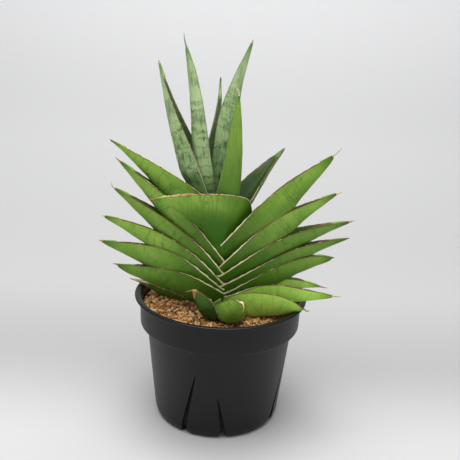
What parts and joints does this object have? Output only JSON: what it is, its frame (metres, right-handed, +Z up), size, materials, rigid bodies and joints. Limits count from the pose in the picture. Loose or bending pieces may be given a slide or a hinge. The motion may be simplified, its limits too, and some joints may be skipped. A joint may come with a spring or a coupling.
{
  "type": "potted snake plant",
  "caption": "Stocky succulent with a flat two-ranked fan of boat-shaped leaves and banded upright leaves, standing in granular soil in a slit plastic pot.",
  "frame": {"origin": "centre of the pot's underside, on the surface that it stands on", "axes": "+Z up along the pot's axis; the fan of leaves spreads along X; the zigzag of leaf margins faces -Y"},
  "size_m": [0.215, 0.15, 0.332],
  "materials": {
    "leaf": "satin waxy green leaf skin with fine dark flecks, a thin reddish-brown margin with a cream papery edge, and a dry brown spine at the tip",
    "banded_leaf": "satin pale grey-green leaf skin with zigzag dark green cross-bands and a reddish-brown margin",
    "stem": "matt pale green-brown stem, hidden among the leaf bases",
    "granules": "matt tan and golden-brown granules of 2 to 4 mm with dark gaps",
    "pot": "satin charcoal-black moulded plastic with faint scuffs"
  },
  "bodies": {
    "root": {"left_leaf_1": "leaf", "left_leaf_2": "leaf", "left_leaf_3": "leaf", "left_leaf_4": "leaf", "left_leaf_5": "leaf", "left_leaf_6": "leaf", "left_leaf_7": "leaf", "right_leaf_1": "leaf", "right_leaf_2": "leaf", "right_leaf_3": "leaf", "right_leaf_4": "leaf", "right_leaf_5": "leaf", "right_leaf_6": "leaf", "right_leaf_7": "leaf", "right_leaf_8": "leaf", "front_leaf": "leaf", "back_leaf": "leaf", "front_shoot_1": "leaf", "front_shoot_2": "leaf", "crown_leaf_1": "banded_leaf", "crown_leaf_2": "banded_leaf", "crown_leaf_3": "banded_leaf", "crown_leaf_4": "banded_leaf", "crown_leaf_5": "banded_leaf", "stem": "stem", "soil": "granules", "pot": "pot"}
  },
  "joints": []
}
